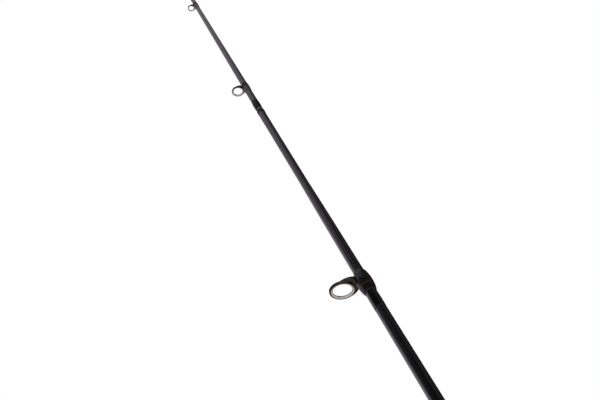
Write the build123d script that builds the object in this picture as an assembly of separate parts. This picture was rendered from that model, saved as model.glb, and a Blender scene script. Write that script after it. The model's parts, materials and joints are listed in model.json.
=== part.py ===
"""Two-piece spinning rod, about 2.13 m long, with a spigot ferrule.

Millimetres. +Z runs along the rod from the butt to the tip, and the origin is the
centre of the butt cap's flat end. The line guides and the reel face -Y.
"""
from build123d import *
import math
import os

os.makedirs("parts", exist_ok=True)

# ---------------------------------------------------------------- driving dimensions
# Blank: outer radius at a few stations along the rod (z, radius)
BUTT_PROFILE = [
    (6.0, 5.25), (744.0, 3.93), (861.0, 3.56), (912.0, 3.38), (962.0, 2.98), (1040.0, 2.93), (1066.0, 3.0),
]
TIP_PROFILE = [(1070.0, 2.82), (1290.0, 2.08), (1700.0, 1.5), (2114.0, 1.0)]
BUTT_WALL = 1.1
TIP_WALL = 0.55
BUTT_START = BUTT_PROFILE[0][0]
BUTT_END = BUTT_PROFILE[-1][0]
TIP_START = TIP_PROFILE[0][0]
TIP_END = TIP_PROFILE[-1][0]

# Spigot ferrule
SPIGOT_R = 2.2
SPIGOT_GLUED = 58.0
SPIGOT_FREE = 62.0
SPIGOT_CLEARANCE = 0.05
BUTT_COLLAR_LENGTH = 4.0
TIP_COLLAR_LENGTH = 12.0

# Handle stations along the rod
CAP_FLOOR = 6.0
CAP_TOP = 20.0
CAP_R = 13.3
GRIP_R = 13.5
GRIP_STEP_R = 11.6
GRIP_STRAIGHT_TOP = 95.0
GRIP_TOP = 115.0
SEAT_GRIP_BOTTOM = 185.0
SEAT_BOTTOM = 235.0
SEAT_TOP = 355.0
FORE_GRIP_TOP = 428.0
CHECK_LENGTH = 3.0

# Reel seat
SEAT_R = 10.2
SEAT_BORE_R = 6.4
THREAD_PITCH = 3.0
THREAD_DEPTH = 0.6
THREAD_BOTTOM = 286.0
HOOD_WALL = 2.0
HOOD_LENGTH = 24.0
HOOD_SLOPE = 9.0
POCKET_DEPTH = 15.0
POCKET_HALF_WIDTH = 7.5
POCKET_HEIGHT = 5.2
SLIDING_HOOD_BOTTOM = 314.0
NUT_LENGTH = 13.0
NUT_R = 13.2
NUT_FLUTES = 24
RUNNING = 0.06
KEY_WIDTH = 3.0
KEY_DEPTH = 1.4

# Line guides: lean of ring and leg towards the tip, and each guide's station, hole, rim and height
RING_LEAN = 15.0
LEG_LEAN = 3.0
LEG_SINK = 0.6
STRIPPER = dict(station=630.0, hole_r=10.6, rim_r=13.6, height=28.0, rim_wall=0.8, depth=3.0, sheet=1.3)
STRIPPER_ROOT_WIDTH = 7.0
STRIPPER_FOOT_WIDTH = 3.2
STRIPPER_FRONT_FOOT = 15.0
STRIPPER_REAR_FOOT = 14.0
STRIPPER_LEG_SPREAD = 24.0
STRIPPER_STRUT_R = 0.85
STRIPPER_WRAP_SWELL = 1.45
SINGLE_FOOT = [
    dict(name="guide_1", station=850.0, hole_r=6.3, rim_r=8.65, height=15.25),
    dict(name="guide_2", station=1113.0, hole_r=3.75, rim_r=5.25, height=8.0),
    dict(name="guide_3", station=1294.0, hole_r=2.5, rim_r=3.5, height=5.8),
    dict(name="guide_4", station=1452.0, hole_r=2.3, rim_r=3.3, height=5.4),
    dict(name="guide_5", station=1594.0, hole_r=2.1, rim_r=3.1, height=5.0),
    dict(name="guide_6", station=1722.0, hole_r=2.0, rim_r=3.0, height=4.8),
    dict(name="guide_7", station=1836.0, hole_r=2.0, rim_r=3.0, height=4.7),
    dict(name="guide_8", station=1938.0, hole_r=2.0, rim_r=3.0, height=4.6),
    dict(name="guide_9", station=2031.0, hole_r=2.0, rim_r=3.0, height=4.4),
]
# Shares of the rim radius or of the ring's depth
SEAT_SHARE = 0.87
COLLAR_SHARE = 0.7
LEG_ROOT_SHARE = 0.90
LEG_SHOULDER_SHARE = 0.90
FOOT_WIDTH_SHARE = 0.4
# Sizes that grow with the rim radius: value at zero radius, and growth per millimetre of radius
LEG_SHEET = (0.35, 0.07)
RING_DEPTH = (1.4, 0.16)
FOOT_LENGTH = (3.4, 0.95)
# Wraps: swell over the blank, and length past the foot and past the leg's root
WRAP_SWELL_FACTOR = 0.0023
MIN_WRAP_SWELL = 0.30
WRAP_PAST_FOOT = 2.6
WRAP_PAST_ROOT = 2.0
TRIM_OFFSET = 4.8
COAT_LENGTH = 15.0
TIP_TOP = dict(station=2122.0, hole_r=2.2, rim_r=3.3, offset=3.1, lean=28.0, rim_wall=0.35, depth=1.6)
TIP_TUBE_LENGTH = 9.0
TIP_TUBE_WALL = 0.45
TIP_TUBE_END = 1.4
TIP_STRUT_R = 0.42


def save(shape, node):
    """Write one sub-part to its own file."""
    export_step(shape, f"parts/{node}.step")


def turned(points):
    """Solid of revolution about Z from (radius, z) points."""
    outline = Polyline(*[(r, 0, z) for r, z in points], close=True)
    return revolve(make_face(outline), Axis.Z)


def radius_at(profile, z):
    """Blank radius at a station, by straight runs between the given stations."""
    for (z0, r0), (z1, r1) in zip(profile, profile[1:]):
        if z <= z1:
            return r0 + (r1 - r0) * (z - z0) / (z1 - z0)
    return profile[-1][1]


def filled_blank(profile):
    """The blank's outside as a solid rod, used to shape whatever sits on it."""
    rim = [(r, z) for z, r in profile]
    return turned([(0, profile[0][0])] + rim + [(0, profile[-1][0])])


BUTT_ROD = filled_blank(BUTT_PROFILE)
TIP_ROD = filled_blank(TIP_PROFILE)


def rod_at(z):
    """The filled rod and the profile that a station belongs to."""
    if z < BUTT_END:
        return BUTT_ROD, BUTT_PROFILE
    return TIP_ROD, TIP_PROFILE


def sleeve(z0, z1, points):
    """A turned piece that fits closely on the blank."""
    rod, _ = rod_at((z0 + z1) / 2)
    return turned([(0, z0)] + points + [(0, z1)]) - rod


def dome(z0, z1, height, lip=0.12):
    """Thread wrap under epoxy: a low dome of revolution from z0 to z1."""
    _, profile = rod_at(z0)
    steps = 8
    points = [(0, z0)]
    for i in range(steps + 1):
        share = i / steps
        z = z0 + (z1 - z0) * share
        swell = lip + height * math.sin(math.pi * share) ** 0.6
        points.append((radius_at(profile, z) + swell, z))
    points.append((0, z1))
    return turned(points)


# ---------------------------------------------------------------- blanks and ferrule
def butt_blank():
    bore = [(max(r - BUTT_WALL, SPIGOT_R), z) for z, r in BUTT_PROFILE]
    glued_from = BUTT_END - SPIGOT_GLUED
    inner = [(0, BUTT_START)] + bore[:-2] + [(SPIGOT_R, glued_from), (SPIGOT_R, BUTT_END), (0, BUTT_END)]
    return BUTT_ROD - turned(inner)


def tip_blank():
    socket_top = TIP_START + SPIGOT_FREE + 2.0
    socket_r = SPIGOT_R + SPIGOT_CLEARANCE
    top_bore = 0.35
    inner = [
        (0, TIP_START), (socket_r, TIP_START), (socket_r, socket_top),
        (radius_at(TIP_PROFILE, socket_top + 20.0) - TIP_WALL - 0.35, socket_top + 20.0),
        (radius_at(TIP_PROFILE, 1700.0) - TIP_WALL, 1700.0), (top_bore, TIP_END), (0, TIP_END),
    ]
    return TIP_ROD - turned(inner)


def spigot():
    bottom = BUTT_END - SPIGOT_GLUED
    top = TIP_START + SPIGOT_FREE
    chamfer_size = 0.5
    return turned([
        (0, bottom), (SPIGOT_R, bottom), (SPIGOT_R, top - chamfer_size),
        (SPIGOT_R - chamfer_size, top), (0, top),
    ])


# ---------------------------------------------------------------- handle
def butt_cap():
    foot_edge = 1.5
    outer = turned([
        (0, 0), (CAP_R - foot_edge, 0), (CAP_R, foot_edge),
        (CAP_R, CAP_TOP - 1.0), (CAP_R - 0.6, CAP_TOP), (0, CAP_TOP),
    ])
    return outer - Pos(0, 0, CAP_FLOOR) * Cylinder(
        GRIP_STEP_R, CAP_TOP, align=(Align.CENTER, Align.CENTER, Align.MIN))


def butt_grip():
    return sleeve(CAP_FLOOR, GRIP_TOP, [
        (GRIP_STEP_R, CAP_FLOOR), (GRIP_STEP_R, CAP_TOP), (GRIP_R, CAP_TOP), (GRIP_R, GRIP_STRAIGHT_TOP),
        (GRIP_R - 1.2, GRIP_STRAIGHT_TOP + 7.0), (8.6, GRIP_TOP - 2.0), (8.0, GRIP_TOP),
    ])


def seat_grip():
    return sleeve(SEAT_GRIP_BOTTOM, SEAT_BOTTOM, [
        (7.6, SEAT_GRIP_BOTTOM), (8.2, SEAT_GRIP_BOTTOM + 2.0), (10.4, SEAT_GRIP_BOTTOM + 16.0),
        (11.8, SEAT_BOTTOM - 14.0), (11.8, SEAT_BOTTOM - 1.0), (11.4, SEAT_BOTTOM),
    ])


def fore_grip():
    return sleeve(SEAT_TOP, FORE_GRIP_TOP, [
        (11.6, SEAT_TOP), (12.2, SEAT_TOP + 1.5), (11.4, SEAT_TOP + 22.0), (9.0, SEAT_TOP + 46.0),
        (7.6, FORE_GRIP_TOP - 2.0), (7.2, FORE_GRIP_TOP),
    ])


def winding_check(bottom, radius):
    """Turned metal ring that closes the end of a grip."""
    top = bottom + CHECK_LENGTH
    return sleeve(bottom, top, [
        (radius, bottom), (radius, bottom + 1.2), (radius - 0.6, bottom + 1.6), (radius - 0.8, top - 0.4),
        (radius - 1.3, top),
    ])


def seat_arbors():
    """Three glued bushings that carry the reel seat on the blank."""
    bushings = []
    length = 20.0
    for bottom in (SEAT_BOTTOM + 4.0, SEAT_BOTTOM + 50.0, SEAT_TOP - 24.0):
        top = bottom + length
        bushings.append(sleeve(bottom, top, [(SEAT_BORE_R, bottom), (SEAT_BORE_R, top)]))
    return Compound(bushings)


def hood_block(closed_z, open_z):
    """A ring round the seat with a raised back over the reel foot, solid inside.

    The back slopes down to the seat over the hood's closed end.
    """
    length = abs(open_z - closed_z)
    facing = 1 if open_z > closed_z else -1
    back = SEAT_R + POCKET_HEIGHT + HOOD_WALL
    half = POCKET_HALF_WIDTH + HOOD_WALL
    section = Circle(SEAT_R + HOOD_WALL) + Pos(0, -back / 2) * Rectangle(2 * half, back)
    section = fillet(section.vertices().sort_by(Axis.Y)[:2], 4.6)
    block = Pos(0, 0, min(closed_z, open_z)) * extrude(section, length)
    block = fillet(block.faces().filter_by(Axis.Z).edges(), 0.8)
    outside = closed_z - facing * 0.5
    slope = Polyline(
        (0, -SEAT_R - HOOD_WALL - 0.2, outside),
        (0, -back - 1.0, closed_z + facing * HOOD_SLOPE),
        (0, -back - 1.0, outside),
        close=True)
    return block - extrude(make_face(slope), 2 * half, both=True, dir=(1, 0, 0))


def pocket(z0, z1):
    """The space that the reel foot slides into."""
    width = 2 * POCKET_HALF_WIDTH
    height = SEAT_R + POCKET_HEIGHT
    box = Pos(0, -height / 2, (z0 + z1) / 2) * Box(width, height, z1 - z0)
    vertical = box.edges().filter_by(Axis.Z).sort_by(Axis.Y)[:2]
    return fillet(vertical, 2.6)


def cylinder_from(radius, z0, z1):
    return Pos(0, 0, z0) * Cylinder(radius, z1 - z0, align=(Align.CENTER, Align.CENTER, Align.MIN))


def reel_seat_body():
    points = [(SEAT_BORE_R, SEAT_BOTTOM), (SEAT_R, SEAT_BOTTOM), (SEAT_R, THREAD_BOTTOM)]
    turns = int((SEAT_TOP - THREAD_BOTTOM) / THREAD_PITCH)
    for i in range(turns):
        base = THREAD_BOTTOM + i * THREAD_PITCH
        points.append((SEAT_R - THREAD_DEPTH, base + 0.5))
        points.append((SEAT_R - THREAD_DEPTH, base + 1.2))
        points.append((SEAT_R, base + 1.7))
        points.append((SEAT_R, base + THREAD_PITCH))
    points.append((SEAT_BORE_R, THREAD_BOTTOM + turns * THREAD_PITCH))
    body = turned(points)
    keyway = Pos(0, SEAT_R - KEY_DEPTH / 2 + 0.5, (THREAD_BOTTOM + SEAT_TOP) / 2) * Box(
        KEY_WIDTH, KEY_DEPTH + 1.0, SEAT_TOP - THREAD_BOTTOM + 2.0)
    return body - keyway


def fixed_hood():
    top = SEAT_BOTTOM + HOOD_LENGTH
    block = hood_block(SEAT_BOTTOM, top) - pocket(top - POCKET_DEPTH, top + 1.0)
    return block - cylinder_from(SEAT_R, SEAT_BOTTOM - 1.0, top + 1.0)


def sliding_hood():
    top = SLIDING_HOOD_BOTTOM + HOOD_LENGTH
    block = hood_block(top, SLIDING_HOOD_BOTTOM)
    block -= pocket(SLIDING_HOOD_BOTTOM - 1.0, SLIDING_HOOD_BOTTOM + POCKET_DEPTH)
    block -= cylinder_from(SEAT_R + RUNNING, SLIDING_HOOD_BOTTOM - 1.0, top + 1.0)
    key_depth = KEY_DEPTH - 0.2
    key = Pos(0, SEAT_R - key_depth / 2 + 0.4, SLIDING_HOOD_BOTTOM + HOOD_LENGTH / 2) * Box(
        KEY_WIDTH - 0.4, key_depth + 0.8, HOOD_LENGTH - 4.0)
    return block + key


def lock_nut():
    bottom = SLIDING_HOOD_BOTTOM + HOOD_LENGTH + 0.2
    top = bottom + NUT_LENGTH
    body = turned([
        (SEAT_R + RUNNING, bottom), (NUT_R - 0.8, bottom), (NUT_R, bottom + 0.8), (NUT_R, top - 2.6),
        (NUT_R - 0.5, top - 2.2), (NUT_R - 1.6, top), (SEAT_R + RUNNING, top),
    ])
    flute = Cylinder(0.9, NUT_LENGTH - 3.2, align=(Align.CENTER, Align.CENTER, Align.MIN))
    flutes = [place * flute for place in PolarLocations(NUT_R + 0.35, NUT_FLUTES)]
    return body - Pos(0, 0, bottom - 1.0) * Compound(flutes)


# ---------------------------------------------------------------- line guides
def ring_plane(station, height, lean):
    """Plane of a guide ring: local +Y runs from the ring back to the blank."""
    tilt = math.radians(lean)
    return Plane(origin=(0, -height, station), x_dir=(1, 0, 0), z_dir=(0, math.sin(tilt), math.cos(tilt)))


def insert_ring(plane, hole_r, seat_r, depth):
    """Polished ring insert whose inside is a half ellipse in section."""
    width = seat_r - hole_r
    section = Pos(seat_r, 0) * Ellipse(width, depth / 2)
    section = section & (Pos(seat_r - width / 2, 0) * Rectangle(width, depth))
    return plane * revolve(Plane.XZ * section, Axis.Z)


def rim_collar(plane, seat_r, rim_r, depth):
    """The frame's rim, pressed round the insert."""
    section = Pos((seat_r + rim_r) / 2, 0) * Rectangle(rim_r - seat_r, depth)
    outer = section.vertices().sort_by(Axis.X)[-2:]
    section = fillet(outer, 0.45 * min(rim_r - seat_r, depth))
    return plane * revolve(Plane.XZ * section, Axis.Z)


def leg_plate(plane, rim_r, seat_r, reach, root_width, thickness):
    """Flat stamped leg from the rim to the blank, with bowed sides."""
    base = (0.98 * rim_r, 0.2 * rim_r)
    shoulder = (LEG_SHOULDER_SHARE * rim_r, 0.58 * reach)
    root = (root_width / 2, reach)
    right = ThreePointArc(base, shoulder, root)
    left = mirror(right, Plane.YZ)
    outline = make_face([right, left, Line(left @ 0, right @ 0), Line(left @ 1, right @ 1)])
    outline = outline - Circle(seat_r)
    return plane * extrude(outline, thickness / 2, both=True)


def cylinder_on(plane, radius, length):
    """A plug through a guide's rim, used to clear its seat for the insert."""
    return plane * Cylinder(radius, length)


def foot_strip(z0, z1, base_r, width, thickness):
    """Foot curved to the blank, ground thin towards its far end z1."""
    root = (base_r + thickness, z0)
    toe = (base_r + 0.4 * thickness, z1)
    cone = turned([(0, z0), root, toe, (0, z1)])
    depth = base_r + thickness
    slab = Pos(0, -depth / 2, (z0 + z1) / 2) * Box(width, depth, abs(z1 - z0))
    return cone & slab


def single_foot_guide(name, station, hole_r, rim_r, height):
    """Frame, ring insert and wrap of one single-foot guide.

    The ring leans to the tip and the foot runs back towards the butt under the wrap.
    """
    rod, profile = rod_at(station)
    blank_r = radius_at(profile, station)
    plane = ring_plane(station, height, RING_LEAN)
    seat_r = SEAT_SHARE * rim_r
    depth = grown(RING_DEPTH, rim_r)
    collar_depth = COLLAR_SHARE * depth
    sheet = grown(LEG_SHEET, rim_r)
    swell = max(MIN_WRAP_SWELL, WRAP_SWELL_FACTOR * rim_r ** 3)
    root_z = station - (height - blank_r) * math.tan(math.radians(RING_LEAN))
    foot_end = root_z - grown(FOOT_LENGTH, rim_r)
    gap = height - blank_r - rim_r
    wrap_from = foot_end - WRAP_PAST_FOOT
    wrap_to = root_z + max(WRAP_PAST_ROOT, 1.7 * gap)
    reach = height - blank_r + LEG_SINK

    collar = rim_collar(plane, seat_r, rim_r, collar_depth)
    bend = math.tan(math.radians(RING_LEAN - LEG_LEAN))
    start = plane.from_local_coords((0, 0, -(collar_depth - sheet) / 2 - 0.2 * rim_r * bend))
    leg_plane = ring_plane(start.Z, height, LEG_LEAN)
    leg = leg_plate(leg_plane, rim_r, 0.8 * seat_r, reach, LEG_ROOT_SHARE * rim_r, sheet)
    leg -= cylinder_on(plane, seat_r, 4.0 * depth)
    leg_root_z = start.Z - (height - blank_r) * math.tan(math.radians(LEG_LEAN))
    foot_thickness = min(sheet, 0.6 * swell)
    foot = foot_strip(leg_root_z + sheet / 2, foot_end, blank_r, FOOT_WIDTH_SHARE * rim_r, foot_thickness)
    frame = collar + leg + foot - rod
    ring = insert_ring(plane, hole_r, seat_r, depth)
    wrap = largest(dome(wrap_from, wrap_to, swell) - rod - frame - ring)
    return frame, ring, wrap


def grown(rule, rim_r):
    """A size that grows in a straight line with the rim radius."""
    return rule[0] + rule[1] * rim_r


def largest(shape):
    """Keep the main solid of a cut and drop any loose sliver."""
    return max(shape.solids(), key=lambda solid: solid.volume)


def strut(start, end, radius):
    """Straight round strut between two points."""
    path = Line(start, end)
    return sweep(Plane(origin=start, z_dir=path % 0) * Circle(radius), path)


def stripper_window(plane, rim_r, reach, sheet):
    """Lightening window in the stripper's front leg, tapering towards the blank."""
    low = 1.10 * rim_r
    high = reach - 3.6
    low_half = 6.4
    high_half = 1.9
    outline = Polyline((-low_half, low), (low_half, low), (high_half, high), (-high_half, high), close=True)
    window = make_face(outline)
    return plane * extrude(fillet(window.vertices(), 0.8), sheet, both=True)


def stripper_guide():
    """Large double-foot guide nearest the reel, on three legs."""
    station = STRIPPER["station"]
    height = STRIPPER["height"]
    rim_r = STRIPPER["rim_r"]
    blank_r = radius_at(BUTT_PROFILE, station)
    plane = ring_plane(station, height, RING_LEAN)
    seat_r = rim_r - STRIPPER["rim_wall"]
    depth = STRIPPER["depth"]
    sheet = STRIPPER["sheet"]
    reach = (height - blank_r + LEG_SINK) / math.cos(math.radians(RING_LEAN))
    root_z = station - (height - blank_r) * math.tan(math.radians(RING_LEAN))
    frame = rim_collar(plane, seat_r, rim_r, depth)
    frame += leg_plate(plane, rim_r, seat_r, reach, STRIPPER_ROOT_WIDTH, sheet)
    frame -= stripper_window(plane, rim_r, reach, sheet)
    front_toe = root_z + STRIPPER_FRONT_FOOT
    frame += foot_strip(root_z - sheet / 2, front_toe, blank_r, STRIPPER_FOOT_WIDTH, sheet)
    rear_root = root_z - STRIPPER_LEG_SPREAD
    rear_toe = rear_root - STRIPPER_REAR_FOOT
    rear_r = radius_at(BUTT_PROFILE, rear_root)
    for side in (-1, 1):
        on_rim = plane.from_local_coords((side * rim_r * 0.97, 0.10 * rim_r, -0.4))
        on_foot = (side * 1.2, -(rear_r + 0.75), rear_root)
        frame += strut(on_foot, on_rim, STRIPPER_STRUT_R)
    frame += foot_strip(rear_root + 1.5, rear_toe, rear_r, STRIPPER_FOOT_WIDTH, sheet)
    ring = insert_ring(plane, STRIPPER["hole_r"], seat_r, depth)
    frame -= BUTT_ROD
    frame -= cylinder_on(plane, seat_r, 4.0)
    front = largest(dome(root_z - 2.6, front_toe + 1.4, STRIPPER_WRAP_SWELL) - BUTT_ROD - frame)
    rear = largest(dome(rear_toe - 1.4, rear_root + 3.0, STRIPPER_WRAP_SWELL) - BUTT_ROD - frame)
    return frame, ring, Compound([front, rear])


def trim_band(wrap, z0, z1, inner_r):
    """A short band of contrasting thread cut out of a wrap's surface."""
    slab = cylinder_from(40.0, z0, z1) - cylinder_from(inner_r, z0 - 1.0, z1 + 1.0)
    return wrap & slab, wrap - slab


def tip_top():
    """Tube, frame and ring at the very tip."""
    station = TIP_TOP["station"]
    rim_r = TIP_TOP["rim_r"]
    depth = TIP_TOP["depth"]
    tube_bottom = TIP_END - TIP_TUBE_LENGTH
    tube_r = radius_at(TIP_PROFILE, tube_bottom) + TIP_TUBE_WALL
    tube_top = TIP_END + TIP_TUBE_END
    tube = turned([
        (0, tube_bottom), (tube_r, tube_bottom), (tube_r, tube_top - 0.8), (tube_r - 0.4, tube_top),
        (0, tube_top)])
    tube = tube - TIP_ROD
    plane = ring_plane(station, TIP_TOP["offset"], TIP_TOP["lean"])
    seat_r = rim_r - TIP_TOP["rim_wall"]
    frame = rim_collar(plane, seat_r, rim_r, depth)
    for side in (-1, 1):
        low = (side * (tube_r + 0.3), -0.2, TIP_END - 6.0)
        high = plane.from_local_coords((side * (rim_r - 0.1), 0.0, 0.0))
        frame += strut(low, high, TIP_STRUT_R)
    frame -= tube
    frame -= TIP_ROD
    ring = insert_ring(plane, TIP_TOP["hole_r"], seat_r, depth)
    return tube, frame - ring, ring - tube


def hook_keeper():
    """Bent wire loop bound to the blank above the fore grip, with its two wraps."""
    z = FORE_GRIP_TOP + 24.0
    wire_r = 0.55
    low = radius_at(BUTT_PROFILE, z - 12.0) + wire_r
    high = low + 4.6
    path = FilletPolyline(
        (0, -low, z - 12.0), (0, -low, z - 5.0), (0, -high, z - 2.5),
        (0, -high, z + 2.5), (0, -low, z + 5.0), (0, -low, z + 12.0), radius=1.6)
    wire = sweep(Plane(origin=path @ 0, z_dir=path % 0) * Circle(wire_r), path)
    wire -= BUTT_ROD
    wraps = []
    for z0, z1 in ((z - 13.4, z - 5.7), (z + 5.7, z + 13.3)):
        bore_r = radius_at(BUTT_PROFILE, z0) + 0.01
        wraps.append(largest(dome(z0, z1, 1.1) - wire - cylinder_from(bore_r, z0 - 1.0, z1 + 1.0)))
    return wire, Compound(wraps)


# ---------------------------------------------------------------- make every node
save(butt_blank(), "butt_blank")
save(spigot(), "ferrule_spigot")
save(tip_blank(), "tip_blank")
save(butt_cap(), "butt_cap")
save(butt_grip(), "butt_grip")
save(seat_grip(), "seat_grip")
save(fore_grip(), "fore_grip")
save(winding_check(GRIP_TOP, 8.0), "butt_grip_check")
save(winding_check(FORE_GRIP_TOP, 7.2), "fore_grip_check")
SEAT_CHECK_BOTTOM = SEAT_GRIP_BOTTOM - CHECK_LENGTH
save(sleeve(SEAT_CHECK_BOTTOM, SEAT_GRIP_BOTTOM, [
    (6.3, SEAT_CHECK_BOTTOM), (6.8, SEAT_CHECK_BOTTOM + 0.4), (7.0, SEAT_CHECK_BOTTOM + 1.4),
    (7.6, SEAT_CHECK_BOTTOM + 1.8), (7.6, SEAT_GRIP_BOTTOM)]), "seat_grip_check")
save(seat_arbors(), "seat_arbors")
save(reel_seat_body(), "reel_seat_body")
save(fixed_hood(), "fixed_hood")
save(sliding_hood(), "sliding_hood")
save(lock_nut(), "lock_nut")

keeper_wire, keeper_wraps = hook_keeper()
save(keeper_wire, "hook_keeper")
save(keeper_wraps, "hook_keeper_wraps")

stripper_frame, stripper_ring, stripper_wraps = stripper_guide()
save(stripper_frame, "stripper_frame")
save(stripper_ring, "stripper_ring")
save(stripper_wraps, "stripper_wraps")

for guide in SINGLE_FOOT:
    guide_frame, guide_ring, guide_wrap = single_foot_guide(**guide)
    save(guide_frame, f"{guide['name']}_frame")
    save(guide_ring, f"{guide['name']}_ring")
    if guide["name"] == "guide_1":
        band_z = guide_wrap.bounding_box().min.Z + TRIM_OFFSET
        band, guide_wrap = trim_band(guide_wrap, band_z, band_z + 1.0, radius_at(BUTT_PROFILE, band_z) + 0.5)
        save(band, "guide_1_trim")
        coat_top = guide_wrap.bounding_box().min.Z
        coat_bottom = coat_top - COAT_LENGTH
        coat_r = radius_at(BUTT_PROFILE, coat_bottom) + 0.14
        save(sleeve(coat_bottom, coat_top, [(coat_r, coat_bottom), (coat_r, coat_top)]), "label_coat")
    save(guide_wrap, f"{guide['name']}_wrap")

collar_r = radius_at(BUTT_PROFILE, BUTT_END) + 0.16
collar_bottom = BUTT_END - BUTT_COLLAR_LENGTH
save(sleeve(collar_bottom, BUTT_END, [(collar_r, collar_bottom), (collar_r, BUTT_END)]), "butt_ferrule_wrap")
save(largest(dome(TIP_START, TIP_START + TIP_COLLAR_LENGTH, 0.16) - TIP_ROD), "tip_ferrule_wrap")

tip_tube, tip_frame, tip_ring = tip_top()
save(tip_tube, "tip_top_tube")
save(tip_frame, "tip_top_frame")
save(tip_ring, "tip_top_ring")
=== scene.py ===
"""Looks for the two-piece spinning rod: materials, fine surface pieces, light and camera.

Metres. +Z runs from the butt to the tip and the line guides face -Y, as in the frame.
"""
import json
import math

import bmesh
import bpy
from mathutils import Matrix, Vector


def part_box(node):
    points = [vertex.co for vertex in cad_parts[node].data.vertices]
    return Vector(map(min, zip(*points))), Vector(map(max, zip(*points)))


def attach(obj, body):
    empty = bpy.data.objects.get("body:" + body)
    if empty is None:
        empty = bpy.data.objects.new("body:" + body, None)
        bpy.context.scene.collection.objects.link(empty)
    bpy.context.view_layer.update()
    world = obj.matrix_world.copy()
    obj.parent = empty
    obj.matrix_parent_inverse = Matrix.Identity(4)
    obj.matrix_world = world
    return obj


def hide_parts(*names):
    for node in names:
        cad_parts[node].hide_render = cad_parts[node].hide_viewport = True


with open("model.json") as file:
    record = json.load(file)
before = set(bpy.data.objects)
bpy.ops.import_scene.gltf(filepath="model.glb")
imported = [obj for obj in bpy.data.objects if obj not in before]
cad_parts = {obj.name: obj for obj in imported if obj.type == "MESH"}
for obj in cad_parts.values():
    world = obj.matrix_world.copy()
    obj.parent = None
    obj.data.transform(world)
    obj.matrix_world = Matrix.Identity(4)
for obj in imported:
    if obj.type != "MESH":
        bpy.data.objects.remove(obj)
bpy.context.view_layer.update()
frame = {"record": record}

MM = 0.001

# ---------------------------------------------------------------- camera and floor
CAMERA_AT = (0.39139, 0.09139, 0.47022)
CAMERA_TURN = (143.77, 19.13, 128.526)
CAMERA_LENS = 52.031
SENSOR = 36.0
FLOOR_HALF = 30.0
FLOOR_GLOW = 0.5
SURROUND = 0.02

# ---------------------------------------------------------------- finish and shape values
FADE_FROM = 0.86
FADE_TO = 1.30
TAPE_PITCH = 2.3 * MM
THREAD_WIDTH = 0.30 * MM
WRAP_GLOSS = 0.45
LIP = 0.10 * MM
INNER_GAP = 0.05 * MM
FOOT_SIDE = -math.pi / 2
FOOT_RISE = 0.22
FOOT_SPREAD = 0.55
TRIM_PROUD = 0.03 * MM
INSERT_DEPTH = 0.66
# Reel seat and butt cap, in millimetres
THREAD_PITCH = 3.0
THREAD_DEPTH = 0.6
THREAD_START = 51.0
KEY_HALF = 1.5
KEY_DEPTH = 1.4
SEAT_BORE = 6.45
CAP_FLOOR = 6.0
CAP_BORE = 11.6
CAP_GROOVES = 4
CAP_GROOVE_DEPTH = 0.45
CAP_GROOVE_START = 5.0
CAP_GROOVE_SPACING = 2.6


# ---------------------------------------------------------------- node helpers
class Shader:
    """A material's node tree, built one call at a time."""

    def __init__(self, name):
        self.material = bpy.data.materials.new(name)
        self.material.use_nodes = True
        self.tree = self.material.node_tree
        self.surface = self.tree.nodes["Principled BSDF"]

    def node(self, kind, **settings):
        made = self.tree.nodes.new(kind)
        for key, value in settings.items():
            setattr(made, key, value)
        return made

    def link(self, source, target):
        self.tree.links.new(source, target)

    def set(self, **values):
        for key, value in values.items():
            socket = key.replace("_", " ").title().replace("Ior", "IOR")
            self.surface.inputs[socket].default_value = value

    def math(self, operation, first, second=None):
        made = self.node("ShaderNodeMath", operation=operation)
        for socket, value in zip(made.inputs, (first, second)):
            if value is None:
                continue
            if isinstance(value, (int, float)):
                socket.default_value = value
            else:
                self.link(value, socket)
        return made.outputs[0]

    def place(self):
        return self.node("ShaderNodeTexCoord").outputs["Object"]

    def split(self):
        made = self.node("ShaderNodeSeparateXYZ")
        self.link(self.place(), made.inputs[0])
        return made.outputs

    def noise(self, scale, detail=3.0, stretch=None):
        made = self.node("ShaderNodeTexNoise")
        made.inputs["Scale"].default_value = scale
        made.inputs["Detail"].default_value = detail
        source = self.place()
        if stretch is not None:
            mapping = self.node("ShaderNodeMapping")
            mapping.inputs["Scale"].default_value = stretch
            self.link(source, mapping.inputs["Vector"])
            source = mapping.outputs[0]
        self.link(source, made.inputs["Vector"])
        return made.outputs["Fac"]

    def ramp(self, source, stops):
        made = self.node("ShaderNodeValToRGB")
        elements = made.color_ramp.elements
        while len(elements) < len(stops):
            elements.new(0.5)
        for element, (at, colour) in zip(elements, stops):
            element.position = at
            element.color = (*colour, 1.0)
        self.link(source, made.inputs[0])
        return made.outputs[0]

    def mix(self, factor, first, second):
        made = self.node("ShaderNodeMix", data_type="RGBA")
        self.link(factor, made.inputs[0])
        self.link(first, made.inputs[6])
        self.link(second, made.inputs[7])
        return made.outputs[2]

    def spread(self, source, low, high):
        made = self.node("ShaderNodeMapRange")
        made.inputs["To Min"].default_value = low
        made.inputs["To Max"].default_value = high
        self.link(source, made.inputs["Value"])
        return made.outputs[0]

    def bump(self, height, strength, distance):
        made = self.node("ShaderNodeBump")
        made.inputs["Strength"].default_value = strength
        made.inputs["Distance"].default_value = distance
        self.link(height, made.inputs["Height"])
        self.link(made.outputs[0], self.surface.inputs["Normal"])

    def helix(self, pitch):
        """A wave from 0 to 1 that winds round Z with the given pitch."""
        x, y, z = self.split()
        turn = self.math("DIVIDE", self.math("ARCTAN2", y, x), 2 * math.pi)
        phase = self.math("ADD", self.math("DIVIDE", z, pitch), turn)
        wave = self.math("SINE", self.math("MULTIPLY", phase, 2 * math.pi))
        return self.math("ADD", self.math("MULTIPLY", wave, 0.5), 0.5)


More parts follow.
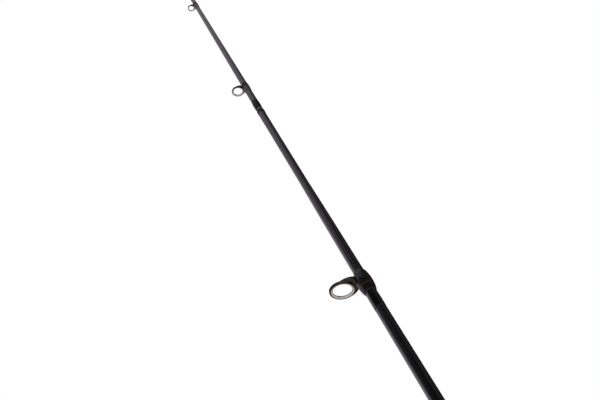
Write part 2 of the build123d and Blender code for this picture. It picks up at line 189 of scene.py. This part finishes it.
# ---------------------------------------------------------------- materials
def carbon_blank():
    """Satin-coated blank whose base colour grades from near-black to mid-grey towards the tip."""
    s = Shader("carbon_blank")
    s.set(Specular_ior_level=0.5, Coat_weight=0.5, Coat_roughness=0.16)
    fade = s.node("ShaderNodeMapRange")
    fade.inputs["From Min"].default_value = FADE_FROM
    fade.inputs["From Max"].default_value = FADE_TO
    s.link(s.split()[2], fade.inputs["Value"])
    streaks = s.noise(700.0, 4.0, (1.0, 1.0, 0.02))
    dark = s.ramp(streaks, [(0.3, (0.0012, 0.0010, 0.0014)), (0.7, (0.0032, 0.0027, 0.0036))])
    grey = s.ramp(streaks, [(0.3, (0.040, 0.034, 0.042)), (0.7, (0.075, 0.066, 0.080))])
    s.link(s.mix(fade.outputs[0], dark, grey), s.surface.inputs["Base Color"])
    s.link(s.spread(streaks, 0.22, 0.40), s.surface.inputs["Roughness"])
    s.bump(s.helix(TAPE_PITCH), 0.07, 0.03 * MM)
    return s.material


def thread_wrap(name, dark, light, gloss=WRAP_GLOSS):
    """Fine thread under a smooth, glossy epoxy: only the thread layer is ridged."""
    s = Shader(name)
    s.set(Roughness=0.5, Specular_ior_level=0.15, Coat_weight=gloss, Coat_roughness=0.06)
    ridges = s.helix(THREAD_WIDTH)
    s.link(s.ramp(ridges, [(0.2, dark), (0.8, light)]), s.surface.inputs["Base Color"])
    s.bump(ridges, 0.35, 0.05 * MM)
    return s.material


def clear_coat():
    """Thick gloss coat over black."""
    s = Shader("clear_coat")
    s.set(Roughness=0.2, Specular_ior_level=0.2, Coat_weight=0.6, Coat_roughness=0.05)
    s.link(s.ramp(s.noise(160.0), [(0.3, (0.0035, 0.0033, 0.0036)), (0.7, (0.006, 0.0055, 0.006))]),
           s.surface.inputs["Base Color"])
    s.bump(s.noise(300.0), 0.08, 0.05 * MM)
    return s.material


def metal(name, dark, light, low, high, grain=260.0, edge=1.0):
    """Metal between two tones; edge below one dims what it mirrors at a shallow angle."""
    s = Shader(name)
    s.set(Metallic=1.0, Specular_tint=(edge, edge, edge, 1.0))
    s.link(s.ramp(s.noise(grain, 4.0), [(0.3, dark), (0.7, light)]), s.surface.inputs["Base Color"])
    s.link(s.spread(s.noise(grain * 2.2, 3.0), low, high), s.surface.inputs["Roughness"])
    s.bump(s.noise(grain * 6.0, 2.0), 0.06, 0.02 * MM)
    return s.material


def foam():
    """Closed-cell grip foam: matte black with fine open pores."""
    s = Shader("eva_foam")
    s.set(Roughness=0.88, Sheen_weight=0.25, Sheen_roughness=0.6, Specular_ior_level=0.25)
    cells = s.node("ShaderNodeTexVoronoi")
    cells.inputs["Scale"].default_value = 1700.0
    s.link(s.place(), cells.inputs["Vector"])
    s.link(s.ramp(s.noise(90.0, 5.0), [(0.3, (0.016, 0.016, 0.017)), (0.7, (0.030, 0.030, 0.031))]),
           s.surface.inputs["Base Color"])
    s.bump(cells.outputs["Distance"], 0.5, 0.25 * MM)
    return s.material


def plastic(name, dark, light, low, high, grain):
    """Moulded surface between two tones, with roughness from low to high."""
    s = Shader(name)
    tone = s.ramp(s.noise(grain * 0.3, 4.0), [(0.3, dark), (0.7, light)])
    s.link(tone, s.surface.inputs["Base Color"])
    s.link(s.spread(s.noise(grain, 3.0), low, high), s.surface.inputs["Roughness"])
    s.bump(s.noise(grain * 5.0, 2.0), 0.12, 0.03 * MM)
    return s.material


BLACK_POLYMER = ((0.010, 0.010, 0.011), (0.018, 0.018, 0.019))
MATERIALS = {
    "carbon_blank": carbon_blank(),
    # Spigot: bare graphite tone, lightened further as painted light against the shade of the recessed
    # spigot.
    "spigot_graphite": plastic(
        "spigot_graphite", (0.15, 0.138, 0.155), (0.19, 0.175, 0.20), 0.30, 0.36, 900.0),
    "cap_rubber": plastic("cap_rubber", (0.010, 0.010, 0.010), (0.02, 0.02, 0.02), 0.6, 0.8, 400.0),
    "eva_foam": foam(),
    "check_metal": metal("check_metal", (0.16, 0.15, 0.15), (0.24, 0.23, 0.22), 0.22, 0.34),
    "arbor_foam": plastic("arbor_foam", (0.36, 0.30, 0.2), (0.46, 0.4, 0.28), 0.8, 0.95, 600.0),
    "seat_polymer": plastic("seat_polymer", *BLACK_POLYMER, 0.28, 0.4, 500.0),
    "hood_metal": metal(
        "hood_metal", (0.115, 0.106, 0.099), (0.135, 0.124, 0.115), 0.26, 0.31, grain=900.0),
    "nut_polymer": plastic("nut_polymer", *BLACK_POLYMER, 0.3, 0.42, 500.0),
    "frame_metal": metal(
        "frame_metal", (0.045, 0.036, 0.030), (0.075, 0.061, 0.052), 0.26, 0.36, edge=0.15),
    "ring_insert": metal(
        "ring_insert", (0.58, 0.535, 0.475), (0.70, 0.65, 0.58), 0.07, 0.13, grain=900.0),
    "thread_wrap": thread_wrap("thread_wrap", (0.0035, 0.0032, 0.0035), (0.008, 0.0072, 0.0075)),
    "trim_thread": thread_wrap("trim_thread", (0.045, 0.013, 0.006), (0.10, 0.031, 0.014)),
    "clear_coat": clear_coat(),
}
# Painted highlight: grey colour on the butt-side half of the black wraps of guides 2 to 9.
PAINTED_HIGHLIGHT_WRAP = thread_wrap("painted_highlight_wrap", (0.070, 0.062, 0.073), (0.115, 0.102, 0.120))
TIGHT_WRAP = thread_wrap("tight_wrap", (0.0025, 0.0022, 0.0024), (0.005, 0.0045, 0.0048), 0.14)
SLOT_OF = {row["node"]: row["material_slot"] for row in frame["record"]["subparts"]}
BODIES = frame["record"]["behaviour"]["bodies"]
BODY_OF = {node: body for body, nodes in BODIES.items() for node in nodes}


def dress_nodes():
    """Give every CAD node the material of its slot."""
    for node, slot in SLOT_OF.items():
        data = bpy.data.objects[node].data
        data.materials.clear()
        data.materials.append(MATERIALS[slot])


# ---------------------------------------------------------------- piece helpers
def stand_for(piece, node):
    """Make a new piece take a CAD node's place, body and finish."""
    piece.data.materials.clear()
    piece.data.materials.append(MATERIALS[SLOT_OF[node]])
    for face in piece.data.polygons:
        face.use_smooth = True
    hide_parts(node)
    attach(piece, BODY_OF[node])


def new_piece(name, mesh):
    piece = bpy.data.objects.new(name, mesh)
    bpy.context.scene.collection.objects.link(piece)
    return piece


def bake_modifiers(piece):
    """Turn a piece's modifiers into its mesh."""
    view = bpy.context.evaluated_depsgraph_get()
    mesh = bpy.data.meshes.new_from_object(piece.evaluated_get(view))
    piece.modifiers.clear()
    piece.data = mesh


def softened(node, grain, rounds=6, keep=0.45):
    """A copy of a CAD node with its edges and inner corners rounded."""
    piece = new_piece(node + "_soft", bpy.data.objects[node].data.copy())
    remesh = piece.modifiers.new("remesh", "REMESH")
    remesh.mode = "VOXEL"
    remesh.voxel_size = grain
    smooth = piece.modifiers.new("smooth", "SMOOTH")
    smooth.factor = 0.5
    smooth.iterations = rounds
    thin = piece.modifiers.new("thin", "DECIMATE")
    thin.ratio = keep
    bake_modifiers(piece)
    stand_for(piece, node)


def blank_rings():
    """The two blanks' outer radius at each station, read from their own outer vertices."""
    rings = {}
    for node in ("butt_blank", "tip_blank"):
        for vertex in bpy.data.objects[node].data.vertices:
            x, y, z = vertex.co
            radius = math.hypot(x, y)
            if vertex.normal.x * x + vertex.normal.y * y > 0.3 * radius:
                rings[round(z, 6)] = max(radius, rings.get(round(z, 6), 0.0))
    return sorted(rings.items())


BLANK = blank_rings()


def blank_radius(z):
    """Outer radius of the rod's blank at height z."""
    for (z0, r0), (z1, r1) in zip(BLANK, BLANK[1:]):
        if z <= z1:
            return r0 + (r1 - r0) * max(0.0, z - z0) / (z1 - z0)
    return BLANK[-1][1]


def lathe(name, profile, segments=96, capped=False):
    """Turn (radius, z) rows about Z; a radius may be a function of the angle.

    The last row joins the first one, or both ends are closed with a small flat when capped.
    """
    made = bmesh.new()
    rings = []
    for radius, z in profile:
        ring = []
        for j in range(segments):
            angle = 2 * math.pi * j / segments
            reach = radius(angle) if callable(radius) else radius
            ring.append(made.verts.new((reach * math.cos(angle), reach * math.sin(angle), z)))
        rings.append(ring)
    following = rings[1:] if capped else rings[1:] + rings[:1]
    for low, high in zip(rings, following):
        for j in range(segments):
            k = (j + 1) % segments
            made.faces.new((low[j], low[k], high[k], high[j]))
    if capped:
        made.faces.new(rings[0])
        made.faces.new(rings[-1])
    bmesh.ops.recalc_face_normals(made, faces=made.faces)
    mesh = bpy.data.meshes.new(name)
    made.to_mesh(mesh)
    made.free()
    return new_piece(name, mesh)


def smooth_line(points, steps=10):
    """Rows on a smooth curve through the given (radius, z) points, in millimetres."""
    rows = []
    ends = [points[0]] + list(points) + [points[-1]]
    for before, start, end, after in zip(ends, ends[1:], ends[2:], ends[3:]):
        for i in range(steps):
            t = i / steps
            weights = (
                -0.5 * t + t * t - 0.5 * t ** 3, 1.0 - 2.5 * t * t + 1.5 * t ** 3,
                0.5 * t + 2.0 * t * t - 1.5 * t ** 3, -0.5 * t * t + 0.5 * t ** 3)
            near = (before, start, end, after)
            rows.append(tuple(
                MM * sum(w * p[axis] for w, p in zip(weights, near)) for axis in (0, 1)))
    rows.append((points[-1][0] * MM, points[-1][1] * MM))
    return rows


# ---------------------------------------------------------------- thread wraps
def wrap_surface(z0, z1, height, foot_rise):
    """Radius of an epoxy dome over the blank by height and angle, higher over the foot."""
    def radius_at(z):
        share = min(1.0, max(0.0, (z - z0) / (z1 - z0)))
        crown = math.sin(math.pi * share) ** 0.6
        base = blank_radius(z) + LIP + height * crown

        def radius(angle):
            away = math.atan2(math.sin(angle - FOOT_SIDE), math.cos(angle - FOOT_SIDE))
            return base + foot_rise * crown * math.exp(-(away / FOOT_SPREAD) ** 2)
        return radius
    return radius_at


def wound(node, z0, z1, surface, proud=0.0, rows=56):
    """A band of a wrap from z0 to z1, closed on the inside at the blank."""
    outer = []
    for i in range(rows + 1):
        z = z0 + (z1 - z0) * i / rows
        over = surface(z)
        outer.append((lambda angle, over=over: over(angle) + proud, z))
    inner = [(blank_radius(z) - INNER_GAP, z) for _, z in outer]
    piece = lathe(node + "_wound", outer + inner[::-1])
    stand_for(piece, node)
    return piece


def wrap_height(node):
    """How far a CAD wrap stands over the blank at its middle."""
    low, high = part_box(node)
    return high.x - blank_radius((low.z + high.z) / 2) - LIP


def black_thread_and_painted_highlight(piece, z):
    """Wind a wrap in flat black thread above height z; below it the black thread is painted grey as a
    painted highlight.
    """
    piece.data.materials[0] = TIGHT_WRAP
    piece.data.materials.append(PAINTED_HIGHLIGHT_WRAP)
    for face in piece.data.polygons:
        if face.center.z < z:
            face.material_index = 1


def make_single_wraps():
    """The wrap of each single-foot guide, and the first one's copper trim band."""
    for i in range(1, 10):
        node = f"guide_{i}_wrap"
        low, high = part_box(node)
        height = wrap_height(node)
        surface = wrap_surface(low.z, high.z, height, FOOT_RISE * height)
        piece = wound(node, low.z, high.z, surface)
        if i > 1:
            # The butt-side half of this black wrap is painted grey as a highlight.
            black_thread_and_painted_highlight(piece, low.z + 0.5 * (high.z - low.z))
        if i == 1:
            trim_low, trim_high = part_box("guide_1_trim")
            wound("guide_1_trim", trim_low.z, trim_high.z, surface, TRIM_PROUD, rows=8)


def make_plain_wraps():
    """The two ferrule wraps and the clear coat: even bands with rounded ends."""
    for node in ("butt_ferrule_wrap", "tip_ferrule_wrap", "label_coat"):
        low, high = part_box(node)
        surface = wrap_surface(low.z, high.z, max(0.02 * MM, wrap_height(node)), 0.0)
        piece = wound(node, low.z, high.z, surface, rows=32)
        if SLOT_OF[node] == "thread_wrap":
            piece.data.materials[0] = TIGHT_WRAP


# ---------------------------------------------------------------- metal and handle pieces
def flush_insert(node):
    """A ring insert made thinner along its own axis, so that the frame's rim stands round it."""
    low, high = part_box(node)
    centre = (low + high) / 2
    mesh = bpy.data.objects[node].data.copy()
    arms = [vertex.co - centre for vertex in mesh.vertices]
    across = sum(arm.y ** 2 for arm in arms)
    along = sum(arm.z ** 2 for arm in arms)
    both = sum(arm.y * arm.z for arm in arms)
    turn = 0.5 * math.atan2(2 * both, across - along)
    axis = Vector((0.0, -math.sin(turn), math.cos(turn)))
    for vertex, arm in zip(mesh.vertices, arms):
        vertex.co -= (1.0 - INSERT_DEPTH) * arm.dot(axis) * axis
    stand_for(new_piece(node + "_flush", mesh), node)


def make_metalwork():
    softened("stripper_frame", 0.16 * MM)
    softened("guide_1_frame", 0.13 * MM)
    softened("guide_2_frame", 0.09 * MM)
    for i in range(3, 10):
        softened(f"guide_{i}_frame", 0.07 * MM, rounds=4)
        flush_insert(f"guide_{i}_ring")
    flush_insert("guide_1_ring")
    flush_insert("guide_2_ring")
    softened("tip_top_frame", 0.07 * MM, rounds=4)
    softened("fixed_hood", 0.25 * MM)
    softened("sliding_hood", 0.25 * MM)
    softened("lock_nut", 0.25 * MM, rounds=4)


def fitted(points, node):
    """Millimetre rows measured from a CAD node's low end, moved to where the node is."""
    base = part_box(node)[0].z / MM
    return smooth_line([(radius, base + z) for radius, z in points])


def make_grip(node, points):
    """Foam grip: a smooth outline over the blank."""
    outer = fitted(points, node)
    inner = [(blank_radius(z) - INNER_GAP, z) for _, z in outer]
    stand_for(lathe(node + "_foam", outer + inner[::-1]), node)


def make_grips():
    make_grip("butt_grip", [
        (11.5, 0.0), (11.5, 13.8), (13.2, 14.0), (13.45, 15.5), (13.45, 50.0), (13.4, 88.0), (12.9, 96.0),
        (10.9, 103.0), (8.9, 107.5), (8.2, 109.0)])
    make_grip("seat_grip", [
        (7.5, 0.0), (8.0, 1.2), (9.3, 8.0), (10.9, 20.0), (11.7, 33.0), (11.75, 46.0),
        (11.5, 49.4), (10.8, 50.0)])
    make_grip("fore_grip", [
        (10.9, 0.0), (11.9, 0.8), (12.1, 3.0), (11.8, 12.0), (11.0, 26.0), (9.5, 42.0), (8.1, 58.0),
        (7.4, 70.0), (7.0, 73.0)])


def make_butt_cap():
    """Moulded rubber cup with four shallow grip rings and a rounded rim."""
    low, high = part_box("butt_cap")
    rim = high.x / MM
    top = (high.z - low.z) / MM
    outer = [(0.3, 0.0), (rim - 3.0, 0.0), (rim - 1.2, 0.3), (rim - 0.2, 1.4), (rim, 3.0)]
    rows = [(radius * MM, low.z + z * MM) for radius, z in outer]
    steps = 60
    for i in range(steps + 1):
        z = CAP_GROOVE_START - 1.0 + (CAP_GROOVES * CAP_GROOVE_SPACING) * i / steps
        turn = 2 * math.pi * (z - CAP_GROOVE_START) / CAP_GROOVE_SPACING
        dip = max(0.0, math.sin(turn)) ** 2
        rows.append(((rim - CAP_GROOVE_DEPTH * dip) * MM, low.z + z * MM))
    inside = [
        (rim, top - 1.4), (rim - 0.4, top - 0.4), (rim - 1.0, top), (CAP_BORE, top),
        (CAP_BORE, CAP_FLOOR), (0.3, CAP_FLOOR)]
    rows += [(radius * MM, low.z + z * MM) for radius, z in inside]
    stand_for(lathe("butt_cap_moulded", rows, capped=True), "butt_cap")


def make_reel_seat():
    """Tube seat with a real helical thread and the keyway of the sliding hood."""
    low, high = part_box("reel_seat_body")
    crest = high.x / MM
    length = (high.z - low.z) / MM

    def surface(z):
        start = min(1.0, max(0.0, (z - THREAD_START) / 2.0))
        end = min(1.0, max(0.0, length - z))
        fade = start * end

        def radius(angle):
            phase = (z / THREAD_PITCH - angle / (2 * math.pi)) % 1.0
            dip = 0.5 - 0.5 * math.cos(2 * math.pi * min(1.0, phase / 0.62))
            reach = crest - THREAD_DEPTH * fade * dip ** 0.7
            across = abs(reach * math.cos(angle))
            if z > THREAD_START and math.sin(angle) > 0 and across < KEY_HALF:
                reach = min(reach, (crest - KEY_DEPTH) / math.sin(angle))
            return reach * MM
        return radius

    plain = [0.0, 0.4, 10.0, 30.0, THREAD_START - 0.5]
    turns = int((length - THREAD_START) / THREAD_PITCH)
    fine = [THREAD_START + i * THREAD_PITCH / 12 for i in range(12 * turns)]
    rows = [(surface(z), low.z + z * MM) for z in plain + fine + [length]]
    rows += [(SEAT_BORE * MM, low.z + length * MM), (SEAT_BORE * MM, low.z)]
    stand_for(lathe("reel_seat_threaded", rows, segments=180), "reel_seat_body")


dress_nodes()
make_single_wraps()
make_plain_wraps()
make_metalwork()
make_grips()
make_butt_cap()
make_reel_seat()


# ---------------------------------------------------------------- stage
def add_panel(name, at, aim, size, brightness, colour):
    """A soft box: an area light whose face has the given brightness."""
    data = bpy.data.lights.new(name, "AREA")
    data.shape = "RECTANGLE"
    data.size, data.size_y = size
    data.energy = brightness * math.pi * size[0] * size[1]
    data.color = colour
    light = bpy.data.objects.new(name, data)
    light.location = at
    light.rotation_euler = (Vector(aim) - Vector(at)).to_track_quat("-Z", "Y").to_euler()
    light.visible_camera = False
    bpy.context.scene.collection.objects.link(light)


def add_floor():
    mesh = bpy.data.meshes.new("floor")
    made = bmesh.new()
    bmesh.ops.create_grid(made, x_segments=1, y_segments=1, size=FLOOR_HALF)
    made.to_mesh(mesh)
    made.free()
    floor = bpy.data.objects.new("floor", mesh)
    bpy.context.scene.collection.objects.link(floor)
    s = Shader("floor")
    s.set(Base_color=(0.86, 0.86, 0.86, 1.0), Roughness=0.6)
    s.set(Emission_color=(1.0, 1.0, 1.0, 1.0), Emission_strength=FLOOR_GLOW)
    mesh.materials.append(s.material)


def add_world():
    """White to the camera, and a dimmer soft surround for the light that falls on the rod."""
    world = bpy.data.worlds.new("studio")
    bpy.context.scene.world = world
    world.use_nodes = True
    tree = world.node_tree
    tree.nodes.clear()
    out = tree.nodes.new("ShaderNodeOutputWorld")
    mix = tree.nodes.new("ShaderNodeMixShader")
    path = tree.nodes.new("ShaderNodeLightPath")
    seen = tree.nodes.new("ShaderNodeBackground")
    seen.inputs["Color"].default_value = (1.0, 1.0, 1.0, 1.0)
    surround = tree.nodes.new("ShaderNodeBackground")
    surround.inputs["Color"].default_value = (0.9, 0.92, 1.0, 1.0)
    surround.inputs["Strength"].default_value = SURROUND
    tree.links.new(path.outputs["Is Camera Ray"], mix.inputs["Fac"])
    tree.links.new(surround.outputs[0], mix.inputs[1])
    tree.links.new(seen.outputs[0], mix.inputs[2])
    tree.links.new(mix.outputs[0], out.inputs["Surface"])


def add_camera():
    data = bpy.data.cameras.new("camera")
    data.sensor_width = SENSOR
    data.lens = CAMERA_LENS
    data.clip_start = 0.01
    data.clip_end = 50.0
    camera = bpy.data.objects.new("camera", data)
    camera.location = CAMERA_AT
    camera.rotation_euler = [math.radians(angle) for angle in CAMERA_TURN]
    bpy.context.scene.collection.objects.link(camera)
    bpy.context.scene.camera = camera


bpy.context.scene.view_settings.view_transform = "Standard"
add_world()
add_floor()
add_panel("overhead", (0.62, -0.16, 3.5), (0.0, 0.0, 1.1), (2.8, 2.8), 0.60, (1.0, 0.92, 1.03))
add_panel("left", (-0.15, -2.35, 2.4), (0.0, 0.0, 0.9), (3.2, 2.5), 0.82, (0.98, 0.93, 1.06))
add_panel("right", (0.2, 2.3, 2.4), (0.0, 0.0, 0.9), (2.6, 2.2), 0.12, (1.0, 0.88, 0.80))
add_camera()
